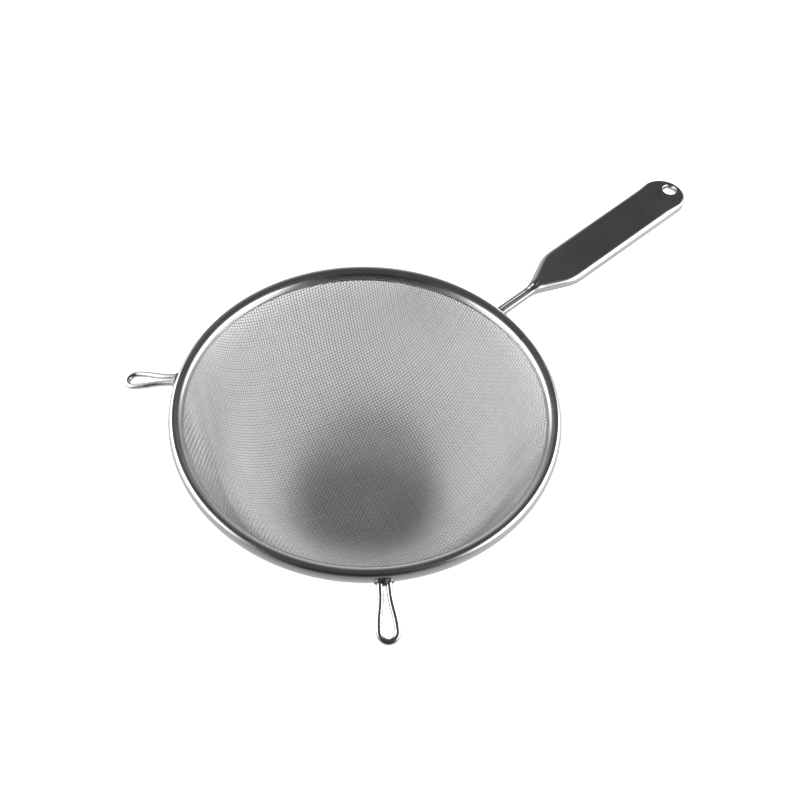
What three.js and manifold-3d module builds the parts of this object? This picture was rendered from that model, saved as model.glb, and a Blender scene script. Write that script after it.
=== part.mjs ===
// A stainless steel kitchen sieve: a pressed wire-cloth bowl held in a rolled rim, a pressed sheet
// handle and two wire loops that rest on the edge of a pot.
// Millimetres, +Z up along the bowl's axis, +X along the handle. The origin is the middle of the
// bowl's flat bottom, on its underside, so the sieve stands on Z = 0.
import * as THREE from 'three';
import { mergeVertices } from 'three/addons/utils/BufferGeometryUtils.js';
import Module from 'manifold-3d';

const wasm = await Module();
wasm.setup();

// Clearance kept between pieces that are crimped or welded together.
const FIT_GAP = 0.3;
const RING_SEGMENTS = 60;

// Bowl of wire cloth. The depth and the radii are those of the middle of the cloth.
const CLOTH_THICKNESS = 0.84;
const BOWL_DEPTH = 68;
const BOTTOM_FLAT_RADIUS = 26;
const BOTTOM_BLEND_RADIUS = 58;
const BLEND_STEPS = 8;

// Openings of the bowl: the square mesh of the cloth at a coarser pitch, draped as the cloth is.
const GRID_PITCH = 20.5;
const GRID_RIB = 5;
const GRID_TURN = -15.8;
const GRID_TOP = 62;
const GRID_CELLS = 6;
const DRAPE_STEPS = 80;
const CUT_TOLERANCE = 0.06;

// Rim: a sheet strip rolled to an oval round a core wire, with the cloth's hem between them.
const RIM_OUTER_RADIUS = 100;
const RIM_SHEET = 0.7;
const RIM_ROLL_GAP = 0.4;
const RIM_EXTRA_HEIGHT = 1.1;
const RIM_STEPS = 16;
const RIM_SEAM_ANGLE = -13.4;
const RIM_SEAM_WIDTH = 0.4;
const CORE_WIRE_DIAMETER = 2.8;
const CORE_WIRE_SIDES = 8;
const HEM_SWEEP = 210;
const HEM_STEPS = 8;
const LIP_SEARCH_STEP = 0.5;

// Handle: one pressed sheet, an open-bottomed plate that narrows to a channel-shaped neck.
const HANDLE_SHEET = 0.8;
const HANDLE_LIFT = 1.8;
const NECK_LENGTH = 24;
const NECK_WIDTH = 5;
const NECK_HEIGHT = 3.2;
const NECK_EDGE_RADIUS = 2.1;
const NECK_ONTO_RIM = 0.8;
const NECK_INTO_PLATE = 5;
const PLATE_LENGTH = 127;
const PLATE_HEIGHT = 5;
const PLATE_FRONT_WIDTH = 25.6;
const PLATE_BACK_WIDTH = 26.4;
const PLATE_EDGE_RADIUS = 2.2;
const SHOULDER_LENGTH = 22;
const SHOULDER_ROUNDING = 5.5;
const EDGE_STEPS = 3;
const END_STEPS = 6;
const HANG_HOLE_DIAMETER = 8.2;
const HANG_HOLE_FROM_END = 6.6;
const HANG_HOLE_COLLAR = 2.2;
const HANG_HOLE_SIDES = 24;

// Pot rests: two keyhole loops of round wire, each welded to the rim by its two ends.
const REST_WIRE_DIAMETER = 3;
const REST_WIRE_SIDES = 10;
const REST_ANGLE = 127.2;
const REST_LENGTH = 28.8;
const REST_ROOT_GAP = 1.4;
const REST_END_GAP = 5.5;
const REST_PARALLEL_LENGTH = 4;
const REST_ROOT_DROP = 0.4;
const REST_END_DROP = 8;
const REST_STEPS = 36;

const DEGREES = Math.PI / 180;

const hemRadius = CORE_WIRE_DIAMETER / 2 + FIT_GAP + CLOTH_THICKNESS / 2;
const rimHalfWidth = hemRadius + CLOTH_THICKNESS / 2 + RIM_ROLL_GAP + RIM_SHEET;
const rimHalfHeight = rimHalfWidth + RIM_EXTRA_HEIGHT / 2;
const rimCentre = new THREE.Vector2(RIM_OUTER_RADIUS - rimHalfWidth, BOWL_DEPTH + CLOTH_THICKNESS / 2);
const plateTip = RIM_OUTER_RADIUS + NECK_LENGTH;
const plateEnd = plateTip + PLATE_LENGTH;

const polishedStrip = { color: 0xb9bbbd, roughness: 0.16, metalness: 1 };
const drawnWire = { color: 0xb4b6b8, roughness: 0.3, metalness: 1 };
const wireCloth = { color: 0xa9abad, roughness: 0.4, metalness: 1 };
const mirrorSheet = { color: 0x8d8f91, roughness: 0.12, metalness: 1 };

/** Closed triangle mesh with shared vertices, from any three.js geometry. */
function weld(geometry) {
  const bare = new THREE.BufferGeometry();
  bare.setAttribute('position', geometry.getAttribute('position').clone());
  if (geometry.index) bare.setIndex(geometry.index.clone());
  return mergeVertices(bare, 1e-4);
}

/** Solid for joining and cutting, made from a closed three.js geometry. */
function toSolid(geometry) {
  const welded = weld(geometry);
  return new wasm.Manifold(new wasm.Mesh({
    numProp: 3,
    vertProperties: Float32Array.from(welded.getAttribute('position').array),
    triVerts: Uint32Array.from(welded.index.array),
  }));
}

/** Geometry of a joined or cut solid. */
function toGeometry(solid) {
  const mesh = solid.getMesh();
  const geometry = new THREE.BufferGeometry();
  geometry.setAttribute('position', new THREE.BufferAttribute(Float32Array.from(mesh.vertProperties), 3));
  geometry.setIndex(new THREE.BufferAttribute(Uint32Array.from(mesh.triVerts), 1));
  return geometry;
}

/** Ring or dish turned about the Z axis from a counterclockwise profile of (radius, height) points. */
function turned(profile) {
  return new THREE.LatheGeometry(profile, RING_SEGMENTS).rotateX(Math.PI / 2);
}

/** Points on an oval round the rim's centre, from one angle to another in degrees. */
function rimOval(halfWidth, halfHeight, fromAngle, toAngle, steps) {
  return Array.from({ length: steps + 1 }, (_, i) => {
    const angle = (fromAngle + ((toAngle - fromAngle) * i) / steps) * DEGREES;
    return new THREE.Vector2(
      rimCentre.x + halfWidth * Math.cos(angle),
      rimCentre.y + halfHeight * Math.sin(angle),
    );
  });
}

/** Solid-section ring round the rim's centre line. */
function rimRing(halfWidth, halfHeight, sides) {
  const outline = rimOval(halfWidth, halfHeight, 0, 360, sides);
  outline[sides].copy(outline[0]);
  return turned(outline);
}

/** Slope of the bowl's wall: the line that leaves the bottom blend and just touches the hem's roll. */
function wallSlope() {
  const blendCentre = new THREE.Vector2(BOTTOM_FLAT_RADIUS, CLOTH_THICKNESS / 2 + BOTTOM_BLEND_RADIUS);
  const between = rimCentre.clone().sub(blendCentre);
  return between.angle() + Math.asin((BOTTOM_BLEND_RADIUS + hemRadius) / between.length());
}

const wallAngle = wallSlope();
const wallInward = new THREE.Vector2(-Math.sin(wallAngle), Math.cos(wallAngle));

/** Middle line of the cloth from the edge of the flat bottom to the end of the hem, with its normals. */
function clothLine() {
  const blend = Array.from({ length: BLEND_STEPS + 1 }, (_, i) => {
    const angle = (wallAngle * i) / BLEND_STEPS;
    const inward = new THREE.Vector2(-Math.sin(angle), Math.cos(angle));
    const point = new THREE.Vector2(BOTTOM_FLAT_RADIUS, CLOTH_THICKNESS / 2 + BOTTOM_BLEND_RADIUS);
    return { point: point.addScaledVector(inward, -BOTTOM_BLEND_RADIUS), inward };
  });
  const hem = Array.from({ length: HEM_STEPS + 1 }, (_, i) => {
    const turn = (-HEM_SWEEP * DEGREES * i) / HEM_STEPS;
    const inward = wallInward.clone().rotateAround(new THREE.Vector2(), turn);
    return { point: rimCentre.clone().addScaledVector(inward, hemRadius), inward };
  });
  return [...blend, ...hem];
}

/** Height of the middle of the cloth at a distance from the bowl's axis, below the hem. */
function clothHeight(radius) {
  const blendWidth = BOTTOM_BLEND_RADIUS * Math.sin(wallAngle);
  const across = Math.min(Math.max(radius - BOTTOM_FLAT_RADIUS, 0), blendWidth);
  const climb = BOTTOM_BLEND_RADIUS - Math.sqrt(BOTTOM_BLEND_RADIUS ** 2 - across ** 2);
  const upTheWall = Math.max(radius - BOTTOM_FLAT_RADIUS - blendWidth, 0);
  return CLOTH_THICKNESS / 2 + climb + upTheWall * Math.tan(wallAngle);
}

/** Crossing of the grid on the middle of the cloth, one pitch from each of two crossings before it. */
function drapedCrossing(before, beside, corner) {
  const crossing = before.clone().add(beside).sub(corner);
  for (let step = 0; step < DRAPE_STEPS; step += 1) {
    crossing.sub(before).setLength(GRID_PITCH).add(before);
    crossing.sub(beside).setLength(GRID_PITCH).add(beside);
    crossing.z = clothHeight(Math.hypot(crossing.x, crossing.y));
  }
  return crossing;
}

/** Crossings of the grid over one quarter of the bowl, counted from the middle of the bottom. */
function quarterGrid() {
  const middle = new THREE.Vector3(0, 0, CLOTH_THICKNESS / 2);
  const line = [middle, new THREE.Vector3(GRID_PITCH, 0, middle.z)];
  while (line.length <= GRID_CELLS) line.push(drapedCrossing(line.at(-1), line.at(-1), line.at(-2)));
  const grid = line.map((start) => [start]);
  grid[0] = line.map(({ x, z }) => new THREE.Vector3(0, x, z));
  for (let i = 1; i <= GRID_CELLS; i += 1) {
    for (let j = 1; j <= GRID_CELLS; j += 1) {
      grid[i].push(drapedCrossing(grid[i - 1][j], grid[i][j - 1], grid[i - 1][j - 1]));
    }
  }
  return grid;
}

/** Block through the cloth that leaves half a rib on each side of one square of the grid. */
function openingBlock(corners) {
  const centre = new THREE.Vector3();
  corners.forEach((corner) => centre.addScaledVector(corner, 1 / corners.length));
  const normal = corners[2].clone().sub(corners[0]).cross(corners[3].clone().sub(corners[1])).normalize();
  const points = corners.flatMap((corner) => [-GRID_RIB, GRID_RIB].map((side) => corner.clone()
    .lerp(centre, GRID_RIB / GRID_PITCH).addScaledVector(normal, side).toArray()));
  return wasm.Manifold.hull(points);
}

/** All openings of the bowl as one solid, for cutting. */
function bowlOpenings() {
  const grid = quarterGrid();
  const blocks = [];
  for (let i = 0; i < GRID_CELLS; i += 1) {
    for (let j = 0; j < GRID_CELLS; j += 1) {
      const corners = [grid[i][j], grid[i + 1][j], grid[i + 1][j + 1], grid[i][j + 1]];
      if (Math.min(...corners.map(({ z }) => z)) < GRID_TOP) blocks.push(openingBlock(corners));
    }
  }
  const quarter = wasm.Manifold.union(blocks);
  const half = quarter.add(quarter.mirror([1, 0, 0]));
  const whole = half.add(half.mirror([0, 1, 0]));
  return whole.rotate([0, 0, GRID_TURN]).trimByPlane([0, 0, -1], -GRID_TOP);
}

/** Wire-cloth bowl: flat bottom, blended corner, straight wall and a hem rolled into the rim. */
function meshBowl() {
  const line = clothLine();
  const face = (offset) => line.map(({ point, inward }) => point.clone().addScaledVector(inward, offset));
  const skin = turned([
    new THREE.Vector2(0, 0),
    ...face(-CLOTH_THICKNESS / 2),
    ...face(CLOTH_THICKNESS / 2).reverse(),
    new THREE.Vector2(0, CLOTH_THICKNESS),
  ]);
  return toGeometry(toSolid(skin).subtract(bowlOpenings()).asOriginal().simplify(CUT_TOLERANCE));
}

/** Angles on the rim's oval where the strip's lips stop, inside and outside the cloth, in degrees. */
function lipAngles() {
  const keepOff = CLOTH_THICKNESS / 2 + FIT_GAP;
  // How far the strip lies from the middle of the cloth, on the side of it that is asked for.
  const distance = (degrees, side) => Math.min(...[0, RIM_SHEET].map((depth) => {
    const arm = new THREE.Vector2(
      (rimHalfWidth - depth) * Math.cos(degrees * DEGREES),
      (rimHalfHeight - depth) * Math.sin(degrees * DEGREES),
    );
    return side * (arm.dot(wallInward) - hemRadius);
  }));
  let inner = wallInward.angle() / DEGREES;
  let outer = inner + 180;
  while (distance(inner + LIP_SEARCH_STEP, 1) > keepOff) inner += LIP_SEARCH_STEP;
  while (distance(outer - LIP_SEARCH_STEP, -1) > keepOff) outer -= LIP_SEARCH_STEP;
  return { inner, outer };
}

/** Strip rolled round the hem, open where the cloth goes in, with a slit where its two ends meet. */
function rimBand() {
  const { inner, outer } = lipAngles();
  const outside = rimOval(rimHalfWidth, rimHalfHeight, outer - 360, inner, RIM_STEPS);
  const inside = rimOval(
    rimHalfWidth - RIM_SHEET, rimHalfHeight - RIM_SHEET, outer - 360, inner, RIM_STEPS);
  const section = [...outside, ...inside.reverse(), outside[0].clone()];
  const slit = new THREE.BoxGeometry(rimHalfWidth * 4, RIM_SEAM_WIDTH, rimHalfHeight * 4);
  slit.translate(rimCentre.x, 0, rimCentre.y);
  slit.rotateZ(RIM_SEAM_ANGLE * DEGREES);
  return toGeometry(toSolid(turned(section)).subtract(toSolid(slit)));
}

/** Round wire ring that the cloth's edge is folded over. */
function rimCoreWire() {
  return weld(rimRing(CORE_WIRE_DIAMETER / 2, CORE_WIRE_DIAMETER / 2, CORE_WIRE_SIDES));
}

/** The rim's roll with the fit gap round it, for cutting what is welded to the rim. */
function rimClearance() {
  return toSolid(rimRing(rimHalfWidth + FIT_GAP, rimHalfHeight + FIT_GAP, 2 * RIM_STEPS));
}

/** Unit normal to the left of the step from one point to the next. */
function leftNormal(from, to) {
  const step = to.clone().sub(from).normalize();
  return new THREE.Vector2(-step.y, step.x);
}

/** Counterclockwise plan outline of the handle's plate, moved inwards by an inset. */
function plateOutline(inset) {
  const tip = new THREE.Vector2(plateTip, NECK_WIDTH / 2);
  const shoulder = new THREE.Vector2(plateTip + SHOULDER_LENGTH, PLATE_FRONT_WIDTH / 2);
  const endRadius = PLATE_BACK_WIDTH / 2;
  const endCentre = new THREE.Vector2(plateEnd - endRadius, 0);
  const towards = (target) => target.clone().sub(shoulder).setLength(SHOULDER_ROUNDING).add(shoulder);
  const endStart = endCentre.clone().add(new THREE.Vector2(0, endRadius));
  const rounding = new THREE.QuadraticBezierCurve(towards(tip), shoulder, towards(endStart));
  const roundEnd = Array.from({ length: END_STEPS + 1 }, (_, i) => {
    const angle = (Math.PI / 2) * (1 - i / END_STEPS);
    return new THREE.Vector2(Math.cos(angle), Math.sin(angle)).multiplyScalar(endRadius).add(endCentre);
  });
  const leftHalf = [tip, ...rounding.getPoints(EDGE_STEPS), ...roundEnd];
  const rightHalf = leftHalf.slice(0, -1).map((point) => new THREE.Vector2(point.x, -point.y));
  const outline = [...rightHalf, ...leftHalf.reverse()];
  return outline.map((point, i) => {
    const before = leftNormal(outline.at(i - 1), point);
    const after = leftNormal(point, outline[(i + 1) % outline.length]);
    const corner = before.clone().add(after).normalize();
    return point.clone().addScaledVector(corner, inset / corner.dot(before));
  });
}

/** Upright slab with a rounded upper edge, from a plan outline, between two heights. */
function roundedSlab(outline, bottom, top, edgeRadius) {
  const slab = new THREE.ExtrudeGeometry(new THREE.Shape(outline), {
    depth: top - bottom,
    bevelThickness: edgeRadius,
    bevelSize: edgeRadius,
    bevelOffset: -edgeRadius,
    bevelSegments: EDGE_STEPS,
  });
  slab.translate(0, 0, bottom - edgeRadius);
  const underside = new THREE.BoxGeometry(2 * plateEnd, 2 * plateEnd, 4 * edgeRadius);
  underside.translate(plateEnd, 0, bottom - 2 * edgeRadius);
  return toSolid(slab).subtract(toSolid(underside));
}

/** The neck as a bar with rounded upper edges, from the rim into the plate. */
function neckBar(bottom, inset) {
  const half = NECK_WIDTH / 2 - inset;
  const top = HANDLE_LIFT + NECK_HEIGHT - inset;
  const radius = NECK_EDGE_RADIUS - inset;
  const section = new THREE.Shape();
  section.moveTo(-half, bottom);
  section.lineTo(half, bottom);
  section.absarc(half - radius, top - radius, radius, 0, Math.PI / 2, false);
  section.absarc(radius - half, top - radius, radius, Math.PI / 2, Math.PI, false);
  section.closePath();
  const bar = new THREE.ExtrudeGeometry(section, {
    depth: NECK_ONTO_RIM + NECK_LENGTH + NECK_INTO_PLATE,
    curveSegments: EDGE_STEPS,
    bevelEnabled: false,
  });
  bar.rotateX(Math.PI / 2).rotateZ(Math.PI / 2).translate(RIM_OUTER_RADIUS - NECK_ONTO_RIM, 0, 0);
  return toSolid(bar);
}

/** Upright drum on the hang hole's axis. */
function hangDrum(radius, bottom, top) {
  const drum = new THREE.CylinderGeometry(radius, radius, top - bottom, HANG_HOLE_SIDES);
  drum.rotateX(Math.PI / 2).translate(plateEnd - HANG_HOLE_FROM_END, 0, (top + bottom) / 2);
  return toSolid(drum);
}

/** Pressed-sheet handle: plate, turned-down sides, neck, hang hole with its collar, cut to the rim. */
function handleShell() {
  const top = HANDLE_LIFT + PLATE_HEIGHT;
  const below = HANDLE_LIFT - HANDLE_SHEET;
  const innerTop = top - HANDLE_SHEET;
  const outer = roundedSlab(plateOutline(0), HANDLE_LIFT, top, PLATE_EDGE_RADIUS)
    .add(neckBar(HANDLE_LIFT, 0));
  const hollow = roundedSlab(plateOutline(HANDLE_SHEET), below, innerTop, PLATE_EDGE_RADIUS - HANDLE_SHEET)
    .add(neckBar(below, HANDLE_SHEET));
  const holeRadius = HANG_HOLE_DIAMETER / 2;
  const collar = hangDrum(holeRadius + HANDLE_SHEET, top - HANG_HOLE_COLLAR, top - HANDLE_SHEET / 2);
  const hole = hangDrum(holeRadius, below, top + HANDLE_SHEET);
  const shell = outer.subtract(hollow).add(collar).subtract(hole);
  return toGeometry(shell.translate([0, 0, rimCentre.y]).subtract(rimClearance()));
}

/** Keyhole loop of round wire that leaves the rim outwards and downwards along +X. */
function restLoop() {
  const wireRadius = REST_WIRE_DIAMETER / 2;
  const rootHalf = REST_ROOT_GAP / 2 + wireRadius;
  const endRadius = REST_END_GAP / 2 + wireRadius;
  const arcCentre = RIM_OUTER_RADIUS + REST_LENGTH - wireRadius - endRadius;
  const parallelEnd = RIM_OUTER_RADIUS + REST_PARALLEL_LENGTH;
  const arc = [90, 60, 30, 0].map((degrees) => new THREE.Vector2(
    arcCentre + endRadius * Math.cos(degrees * DEGREES), endRadius * Math.sin(degrees * DEGREES)));
  const half = [
    new THREE.Vector2(rimCentre.x, rootHalf),
    new THREE.Vector2(parallelEnd, rootHalf),
    new THREE.Vector2((parallelEnd + arcCentre) / 2, (rootHalf + endRadius) / 2),
    ...arc,
  ];
  const plan = [...half, ...half.slice(0, -1).reverse().map((point) => new THREE.Vector2(point.x, -point.y))];
  const fall = (REST_END_DROP - REST_ROOT_DROP) / REST_LENGTH;
  const path = new THREE.CatmullRomCurve3(plan.map(({ x, y }) => new THREE.Vector3(
    x, y, rimCentre.y - REST_ROOT_DROP - (x - RIM_OUTER_RADIUS) * fall)));
  const section = new THREE.Shape(new THREE.EllipseCurve(0, 0, wireRadius, wireRadius)
    .getPoints(REST_WIRE_SIDES).slice(0, -1));
  return new THREE.ExtrudeGeometry(section, { steps: REST_STEPS, bevelEnabled: false, extrudePath: path });
}

/** Pot rest turned to its place round the bowl and cut to fit the rim. */
function potRest(angle) {
  return toGeometry(toSolid(restLoop().rotateZ(angle * DEGREES)).subtract(rimClearance()));
}

/** Named piece of the sieve with its own material. */
function piece(name, geometry, look) {
  geometry.computeVertexNormals();
  const mesh = new THREE.Mesh(geometry, new THREE.MeshStandardMaterial(look));
  mesh.name = name;
  return mesh;
}

// Left and right are as seen from the handle's end, looking towards the bowl.
const sieve = new THREE.Group();
sieve.add(
  piece('mesh_bowl', meshBowl(), wireCloth),
  piece('rim_band', rimBand(), polishedStrip),
  piece('rim_core_wire', rimCoreWire(), drawnWire),
  piece('handle_shell', handleShell(), mirrorSheet),
  piece('pot_rest_right', potRest(REST_ANGLE), drawnWire),
  piece('pot_rest_left', potRest(-REST_ANGLE), drawnWire),
);

export default sieve;
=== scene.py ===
"""Looks of a stainless steel kitchen sieve, in metres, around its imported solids.

The bowl is real woven wire, draped over the pressed shape as square wire cloth lies on it. The rim,
the handle and the pot rests are modelled as rolled strip, pressed sheet and bent wire.
"""
import logging
import math
from dataclasses import dataclass, field
from enum import Enum

import bmesh
import bpy
import numpy as np
from mathutils import Matrix, Vector


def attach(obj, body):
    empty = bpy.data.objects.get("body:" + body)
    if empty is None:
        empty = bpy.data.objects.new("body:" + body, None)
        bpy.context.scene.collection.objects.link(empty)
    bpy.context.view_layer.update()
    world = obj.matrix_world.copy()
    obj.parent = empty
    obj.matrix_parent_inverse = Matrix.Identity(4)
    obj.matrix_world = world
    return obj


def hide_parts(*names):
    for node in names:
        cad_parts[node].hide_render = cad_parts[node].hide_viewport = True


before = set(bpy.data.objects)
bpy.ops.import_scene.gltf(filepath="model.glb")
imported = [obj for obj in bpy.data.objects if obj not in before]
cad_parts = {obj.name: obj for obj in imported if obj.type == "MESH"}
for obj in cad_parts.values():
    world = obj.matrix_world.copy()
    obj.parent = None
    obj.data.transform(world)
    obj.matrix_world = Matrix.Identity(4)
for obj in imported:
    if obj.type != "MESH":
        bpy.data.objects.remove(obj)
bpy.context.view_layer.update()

LOG = logging.getLogger("sieve")
MM = 0.001
BODY = "root"
# Pot rests, in degrees either way round from the handle.
REST_ANGLE = 127.2
# Points closer than the first are merged, and closer than the second they count as one place.
MERGE_DISTANCE = 0.0005 * MM
SAME_PLACE = 0.001 * MM
# Keeps a distance from the bowl's axis off zero where something is divided by it.
TINY = 1e-9
# Smooths a piece over all its edges, in degrees.
SMOOTH_ALL = 180.0


def linear(colour: str) -> tuple[float, float, float, float]:
    """Turns an sRGB hex colour to linear RGBA.

    Args:
        colour: Six hex digits after a hash sign.

    Returns:
        Linear red, green, blue and an alpha of 1.
    """
    parts = [int(colour[i:i + 2], 16) / 255 for i in (1, 3, 5)]
    red, green, blue = [p / 12.92 if p <= 0.04045 else ((p + 0.055) / 1.055) ** 2.4 for p in parts]
    return red, green, blue, 1.0


def add_node(tree: bpy.types.NodeTree, kind: str, settings: dict | None = None,
             values: dict | None = None, links: dict | None = None) -> bpy.types.Node:
    """Adds a node with its settings, input values and links.

    Args:
        tree: The node tree to add to.
        kind: The node's type name without its "ShaderNode" start.
        settings: Node properties by name.
        values: Input values by socket name or number.
        links: Output sockets by the name or number of the input they go to.

    Returns:
        The new node.
    """
    node = tree.nodes.new("ShaderNode" + kind)
    for name, value in (settings or {}).items():
        setattr(node, name, value)
    for name, value in (values or {}).items():
        node.inputs[name].default_value = value
    for name, socket in (links or {}).items():
        tree.links.new(socket, node.inputs[name])
    return node


def smooth_step(low: float, high: float, value: np.ndarray) -> np.ndarray:
    """Rises smoothly from 0 at low to 1 at high."""
    part = np.clip((value - low) / (high - low), 0, 1)
    return part * part * (3 - 2 * part)


def rounded_corner(before: np.ndarray, corner: np.ndarray, after: np.ndarray, size: float,
                   steps: int) -> np.ndarray:
    """Rounds the corner between two straight lines.

    Args:
        before: A point on the line into the corner.
        corner: The corner.
        after: A point on the line out of it.
        size: How far from the corner the rounding starts and stops.
        steps: How many points it gets.

    Returns:
        The points, in order.
    """
    start = corner + (before - corner) * size / np.linalg.norm(before - corner)
    stop = corner + (after - corner) * size / np.linalg.norm(after - corner)
    part = np.linspace(0, 1, steps)[:, None]
    return start * (1 - part) ** 2 + corner * 2 * part * (1 - part) + stop * part ** 2


def edit_new(name: str) -> bpy.types.Object:
    """Names the primitive that was just added and opens it for editing.

    Args:
        name: The piece's name.

    Returns:
        The piece.
    """
    piece = bpy.context.object
    piece.name = name
    piece.data.name = name
    bpy.ops.object.mode_set(mode="EDIT")
    return piece


def place_loop(piece: bpy.types.Object, points: np.ndarray) -> None:
    """Gives the vertices of a new circle primitive their places, in order.

    Args:
        piece: The circle, in edit mode.
        points: One place for each vertex.
    """
    shape = bmesh.from_edit_mesh(piece.data)
    for vertex, point in zip(shape.verts, points):
        vertex.co = point
    bmesh.update_edit_mesh(piece.data)


def extrude_loop(piece: bpy.types.Object, old: np.ndarray, new: np.ndarray) -> None:
    """Extrudes the selected edge loop and moves the new loop to its places.

    Args:
        piece: The piece, in edit mode, with the loop selected.
        old: Places of the loop's vertices now.
        new: Places of the new loop's vertices, in the same order.
    """
    bpy.ops.mesh.extrude_edges_move()
    shape = bmesh.from_edit_mesh(piece.data)
    for vertex in [v for v in shape.verts if v.select]:
        nearest = np.argmin(np.linalg.norm(old - np.array(vertex.co), axis=1))
        vertex.co = new[nearest]
    bmesh.update_edit_mesh(piece.data)


def finish_piece(piece: bpy.types.Object, material: bpy.types.Material,
                 nodes: tuple[str, ...] = (), smooth_angle: float = 40.0) -> bpy.types.Object:
    """Shades a piece, dresses it and ties it to the sieve's body.

    Args:
        piece: The finished piece.
        material: Its material.
        nodes: The solids that the piece stands for.
        smooth_angle: Edges sharper than this, in degrees, stay sharp.

    Returns:
        The piece.
    """
    bpy.ops.object.select_all(action="DESELECT")
    piece.select_set(True)
    bpy.context.view_layer.objects.active = piece
    bpy.ops.object.shade_smooth_by_angle(angle=math.radians(smooth_angle))
    piece.data.materials.clear()
    piece.data.materials.append(material)
    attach(piece, BODY)
    if nodes:
        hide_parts(*nodes)
    LOG.info("%s: %d faces", piece.name, len(piece.data.polygons))
    return piece


class Grain(Enum):
    """Which way the fine lines from working the metal run."""

    ROUND = "round the bowl"
    ALONG = "along the handle"
    WIRE = "along a wire"


@dataclass(frozen=True)
class SteelFinish:
    """A worked stainless steel surface: its colour, its shine and the lines that working it left.

    line_width and cloud_width are the sizes of the fine lines and of the soft dull patches. Real
    polishing lines are finer than a pixel, so they are drawn as wide as they need to be to show.
    """

    name: str
    light: str
    dark: str
    roughness: float
    roughness_spread: float
    grain: Grain
    line_width: float
    cloud_width: float
    line_depth: float
    line_detail: float = 3.0
    cloud_detail: float = 4.0
    uneven_low: float = 0.6
    uneven_high: float = 1.4
    handle_stretch: float = 0.012
    wire_stretch: float = 0.25

    def grain_vector(self, tree: bpy.types.NodeTree) -> bpy.types.NodeSocket:
        """Gives coordinates in which the working lines run along one axis.

        Args:
            tree: The material's node tree.

        Returns:
            A vector socket, in metres across the lines and strongly stretched along them.
        """
        place = add_node(tree, "TexCoord").outputs["Object"]
        if self.grain is Grain.ALONG:
            return add_node(tree, "Mapping", values={"Scale": (self.handle_stretch, 1, 1)},
                            links={"Vector": place}).outputs[0]
        if self.grain is Grain.WIRE:
            return add_node(tree, "Mapping",
                            values={"Scale": (self.wire_stretch, self.wire_stretch, 1)},
                            links={"Vector": place}).outputs[0]
        flat = add_node(tree, "VectorMath", {"operation": "MULTIPLY"}, {1: (1, 1, 0)}, {0: place})
        radius = add_node(tree, "VectorMath", {"operation": "LENGTH"}, links={0: flat.outputs[0]})
        split = add_node(tree, "SeparateXYZ", links={0: place})
        return add_node(tree, "CombineXYZ", links={"X": radius.outputs["Value"],
                                                   "Y": split.outputs["Z"]}).outputs[0]

    def build(self) -> bpy.types.Material:
        """Makes the material.

        Returns:
            A metal whose shine is broken by fine lines and soft duller patches.
        """
        material = bpy.data.materials.new(self.name)
        material.use_nodes = True
        tree = material.node_tree
        tree.nodes.clear()
        place = add_node(tree, "TexCoord").outputs["Object"]
        lines = add_node(tree, "TexNoise",
                         values={"Scale": 1 / self.line_width, "Detail": self.line_detail},
                         links={"Vector": self.grain_vector(tree)})
        clouds = add_node(tree, "TexNoise",
                          values={"Scale": 1 / self.cloud_width, "Detail": self.cloud_detail},
                          links={"Vector": place})
        tint = add_node(tree, "Mix", {"data_type": "RGBA"},
                        {6: linear(self.dark), 7: linear(self.light)}, {0: clouds.outputs[0]})
        uneven = add_node(tree, "Math", {"operation": "ADD"},
                          links={0: lines.outputs[0], 1: clouds.outputs[0]})
        shine = add_node(tree, "MapRange",
                         values={"From Min": self.uneven_low, "From Max": self.uneven_high,
                                 "To Min": self.roughness - self.roughness_spread,
                                 "To Max": self.roughness + self.roughness_spread},
                         links={"Value": uneven.outputs[0]})
        bump = add_node(tree, "Bump", values={"Strength": 1.0, "Distance": self.line_depth},
                        links={"Height": lines.outputs[0]})
        metal = add_node(tree, "BsdfPrincipled", values={"Metallic": 1.0},
                         links={"Base Color": tint.outputs[2], "Roughness": shine.outputs[0],
                                "Normal": bump.outputs[0]})
        add_node(tree, "OutputMaterial", links={"Surface": metal.outputs[0]})
        return material


# Stainless strip, cold rolled and polished: bright, with faint lines that run round the rim.
ROLLED_STRIP = SteelFinish("polished_stainless_strip", "#d2d3d4", "#bfc0c2", 0.24, 0.05,
                           Grain.ROUND, 0.5 * MM, 18 * MM, 0.002 * MM)
# Stainless sheet, pressed and buffed to a mirror: dark where it faces a dark room.
MIRROR_SHEET = SteelFinish("buffed_stainless_sheet", "#c9cacb", "#b3b4b6", 0.24, 0.03,
                           Grain.ALONG, 0.7 * MM, 16 * MM, 0.003 * MM)
# Stainless wire, drawn through dies: a bright skin with soft dull spots.
DRAWN_WIRE = SteelFinish("drawn_stainless_wire", "#d3d4d5", "#bcbdbf", 0.24, 0.07,
                         Grain.WIRE, 0.6 * MM, 9 * MM, 0.004 * MM)
# Spot-weld metal, pickled: matt grey and uneven.
WELD_METAL = SteelFinish("pickled_weld_metal", "#949494", "#605f5e", 0.38, 0.12,
                         Grain.WIRE, 0.9 * MM, 2.5 * MM, 0.05 * MM)


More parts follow.
